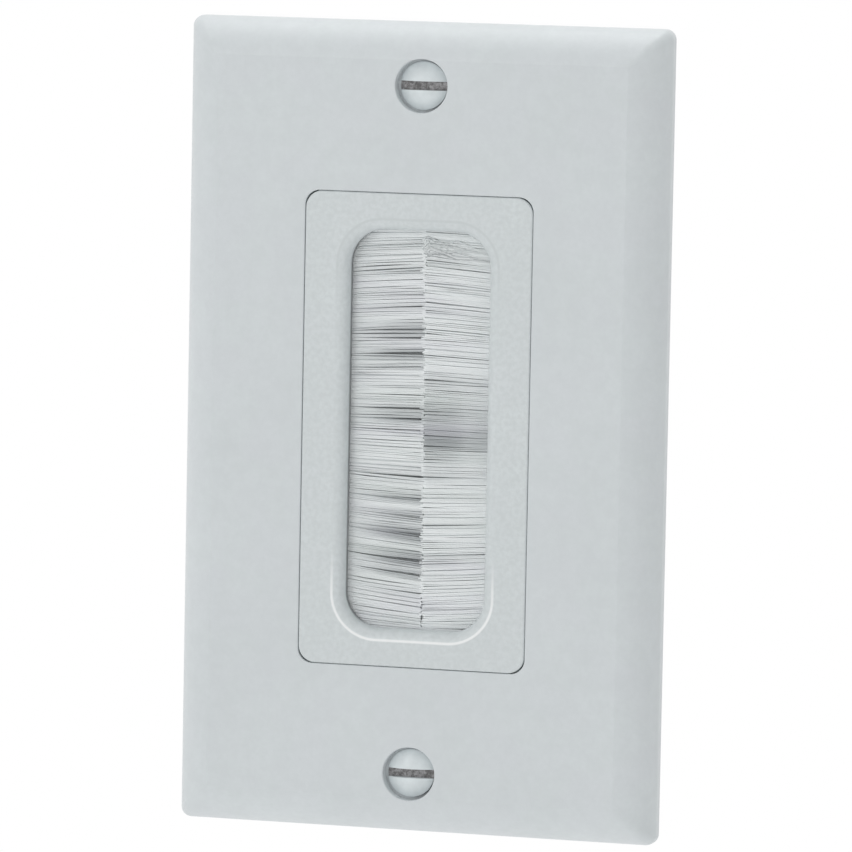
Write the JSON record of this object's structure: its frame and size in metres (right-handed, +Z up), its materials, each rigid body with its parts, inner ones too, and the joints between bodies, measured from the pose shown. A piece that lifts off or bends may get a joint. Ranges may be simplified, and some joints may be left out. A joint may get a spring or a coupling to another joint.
{
  "type": "brush wall plate insert",
  "caption": "Bevelled decorator wall plate with a brush insert: opposed nylon bristles close a rounded window so that cables can pass through.",
  "frame": {"origin": "on the wall plane, midway between the two box screws", "axes": "+X right seen from the front, +Z up along the long side, the front faces -Y and the wall is at Y = 0"},
  "size_m": [0.0698, 0.0361, 0.1142],
  "materials": {
    "plate_plastic": "satin moulded white",
    "insert_plastic": "satin moulded white with a fine grain",
    "retainer_plastic": "matte moulded white",
    "channel_aluminium": "mill finish",
    "wire_steel": "drawn",
    "bristle_nylon": "milky translucent nylon",
    "plate_screw_paint": "white paint on the head",
    "bush_brass": "machined",
    "box_screw_steel": "zinc plated",
    "washer_fibre": "vulcanised fibre",
    "retainer_screw_steel": "zinc plated"
  },
  "bodies": {
    "root": {"wall_plate": "plate_plastic", "insert_frame": "insert_plastic", "rear_retainer": "retainer_plastic", "left_brush_channel": "channel_aluminium", "right_brush_channel": "channel_aluminium", "left_core_wire": "wire_steel", "right_core_wire": "wire_steel", "left_bristles": "bristle_nylon", "right_bristles": "bristle_nylon", "upper_plate_screw": "plate_screw_paint", "lower_plate_screw": "plate_screw_paint", "upper_plate_bush": "bush_brass", "lower_plate_bush": "bush_brass", "upper_box_screw": "box_screw_steel", "lower_box_screw": "box_screw_steel", "upper_box_screw_washer": "washer_fibre", "lower_box_screw_washer": "washer_fibre", "upper_left_retainer_screw": "retainer_screw_steel", "upper_right_retainer_screw": "retainer_screw_steel", "lower_left_retainer_screw": "retainer_screw_steel", "lower_right_retainer_screw": "retainer_screw_steel"}
  },
  "joints": []
}
